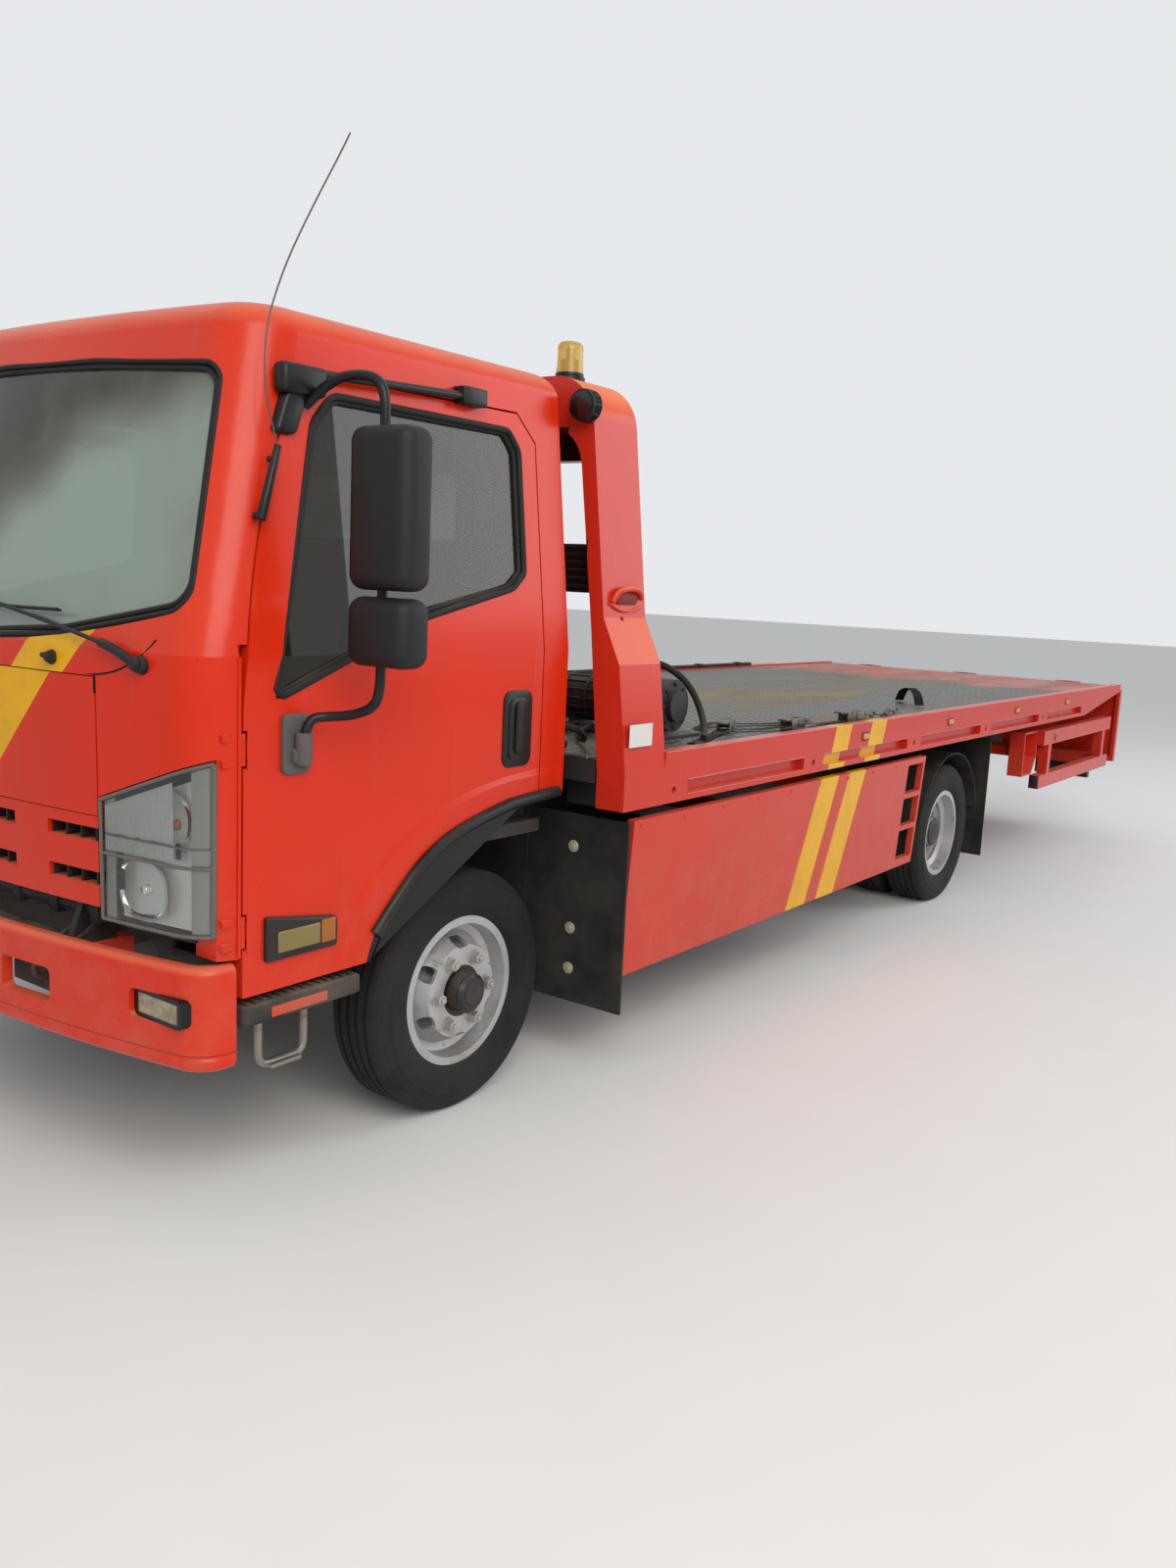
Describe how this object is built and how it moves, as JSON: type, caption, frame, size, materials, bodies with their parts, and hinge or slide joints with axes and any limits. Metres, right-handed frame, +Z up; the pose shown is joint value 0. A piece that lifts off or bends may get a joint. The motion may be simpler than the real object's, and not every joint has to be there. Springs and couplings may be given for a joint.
{
  "type": "slide-bed recovery truck",
  "caption": "Cab-over recovery truck with a flat tread-plate bed that tilts and slides back, a folded headboard behind the cab, twin rear wheels and a hanging tail flap.",
  "frame": {"origin": "on the ground, midway between the bumper's nose and the back of the hanging tail flap, on the centre plane", "axes": "+X forward, +Y the truck's left, +Z up"},
  "size_m": [8.12, 2.675, 2.6908],
  "materials": {
    "body_red": "gloss enamel, sun-faded on upward faces",
    "chassis_black": "satin black, dusty",
    "silver_rim": "satin silver paint, dusty",
    "tyre": "worn, dusty",
    "rubber": "matt",
    "black_plastic": "grained, weathered",
    "glass": "lightly tinted",
    "lamp_lens": "clear lens over reflector",
    "red_lens": "ribbed lens",
    "amber_lens": "amber dome",
    "seat_fabric": "woven",
    "deck_steel": "worn grey tread plate",
    "grey_iron": "oily",
    "rod_chrome": "polished",
    "brushed": "galvanised"
  },
  "bodies": {
    "chassis": {"frame_rails": "chassis_black", "frame_brackets": "chassis_black", "engine": "grey_iron", "axles": "chassis_black", "leaf_springs": "chassis_black", "prop_shaft": "chassis_black", "side_tanks": "chassis_black", "front_bumper": "body_red", "chassis_lamps": "red_lens", "cab_steps": "black_plastic", "side_skirts": "body_red", "mudguards": "rubber", "rear_guard": "body_red", "exhaust": "brushed"},
    "cab": {"cab_shell": "body_red", "cab_floor": "body_red", "front_panel": "body_red", "grille": "body_red", "cab_windows": "glass", "headlamps": "lamp_lens", "seats": "seat_fabric", "dashboard": "black_plastic", "steering_wheel": "black_plastic", "antenna": "black_plastic"},
    "left_door": {"door_left": "body_red", "door_glass_left": "glass", "mirrors_left": "black_plastic"},
    "right_door": {"door_right": "body_red", "door_glass_right": "glass", "mirrors_right": "black_plastic"},
    "left_knuckle": {"knuckle_left": "grey_iron"},
    "right_knuckle": {"knuckle_right": "grey_iron"},
    "front_left_wheel": {"front_rim_left": "silver_rim", "front_tyre_left": "tyre"},
    "front_right_wheel": {"front_rim_right": "silver_rim", "front_tyre_right": "tyre"},
    "rear_left_wheels": {"rear_rims_left": "silver_rim", "rear_tyres_left": "tyre"},
    "rear_right_wheels": {"rear_rims_right": "silver_rim", "rear_tyres_right": "tyre"},
    "tilting_frame": {"tilt_rails": "chassis_black", "tilt_cross": "chassis_black", "slide_barrel": "chassis_black"},
    "bed": {"bed_rails": "body_red", "bed_beams": "chassis_black", "bed_cross": "chassis_black", "deck_plate": "deck_steel", "headboard": "body_red", "headboard_lamps": "amber_lens", "winch_frame": "chassis_black", "slide_rod": "rod_chrome"},
    "drum": {"winch_drum": "brushed"},
    "flap": {"tail_flap": "body_red"},
    "tilt_cylinder_barrels": {"tilt_barrels": "chassis_black"},
    "tilt_cylinder_rods": {"tilt_rods": "rod_chrome"}
  },
  "joints": [
    {"name": "cab_tilt", "type": "hinge", "parent": "chassis", "child": "cab", "pos_m": [3.94, 0, 0.64], "axis": [0, 1, 0], "range_deg": [0, 45]},
    {"name": "left_door_hinge", "type": "hinge", "parent": "cab", "child": "left_door", "pos_m": [3.832, 0.998, 0.985], "axis": [0, 0, -1], "range_deg": [0, 70]},
    {"name": "right_door_hinge", "type": "hinge", "parent": "cab", "child": "right_door", "pos_m": [3.832, -0.998, 0.985], "axis": [0, 0, 1], "range_deg": [0, 70]},
    {"name": "left_steer", "type": "hinge", "parent": "chassis", "child": "left_knuckle", "pos_m": [2.94, 0.7, 0.378], "axis": [0, 0, 1], "range_deg": [-35, 35]},
    {"name": "right_steer", "type": "hinge", "parent": "chassis", "child": "right_knuckle", "pos_m": [2.94, -0.7, 0.378], "axis": [0, 0, 1], "range_deg": [-35, 35]},
    {"name": "front_left_spin", "type": "hinge", "parent": "left_knuckle", "child": "front_left_wheel", "pos_m": [2.94, 0.845, 0.378], "axis": [0, 1, 0], "continuous": true},
    {"name": "front_right_spin", "type": "hinge", "parent": "right_knuckle", "child": "front_right_wheel", "pos_m": [2.94, -0.845, 0.378], "axis": [0, 1, 0], "continuous": true},
    {"name": "rear_left_spin", "type": "hinge", "parent": "chassis", "child": "rear_left_wheels", "pos_m": [-0.875, 0.842, 0.378], "axis": [0, 1, 0], "continuous": true},
    {"name": "rear_right_spin", "type": "hinge", "parent": "chassis", "child": "rear_right_wheels", "pos_m": [-0.875, -0.842, 0.378], "axis": [0, 1, 0], "continuous": true},
    {"name": "bed_tilt", "type": "hinge", "parent": "chassis", "child": "tilting_frame", "pos_m": [-3.72, 0, 0.846], "axis": [0, -1, 0], "range_deg": [0, 15]},
    {"name": "bed_slide", "type": "slide", "parent": "tilting_frame", "child": "bed", "axis": [-1, 0, 0], "range_m": [0, 3]},
    {"name": "flap_hinge", "type": "hinge", "parent": "bed", "child": "flap", "pos_m": [-4.035, 0, 1.076], "axis": [0, 1, 0], "range_deg": [0, 95]},
    {"name": "drum_spin", "type": "hinge", "parent": "bed", "child": "drum", "pos_m": [1.79, 0.05, 1.205], "axis": [0, 1, 0], "continuous": true},
    {"name": "barrel_swing", "type": "hinge", "parent": "chassis", "child": "tilt_cylinder_barrels", "pos_m": [-2.06, 0, 0.62], "axis": [0, -1, 0], "range_deg": [0, 33.06]},
    {"name": "rod_stroke", "type": "slide", "parent": "tilt_cylinder_barrels", "child": "tilt_cylinder_rods", "axis": [0.9869, 0, 0.1615], "range_m": [0, 0.2454]}
  ],
  "couplings": [
    {"joint": "right_steer", "follows": "left_steer", "ratio": 1},
    {"joint": "barrel_swing", "follows": "bed_tilt", "ratio": 2.1374},
    {"joint": "rod_stroke", "follows": "bed_tilt", "m_per_rad": 0.9219}
  ]
}
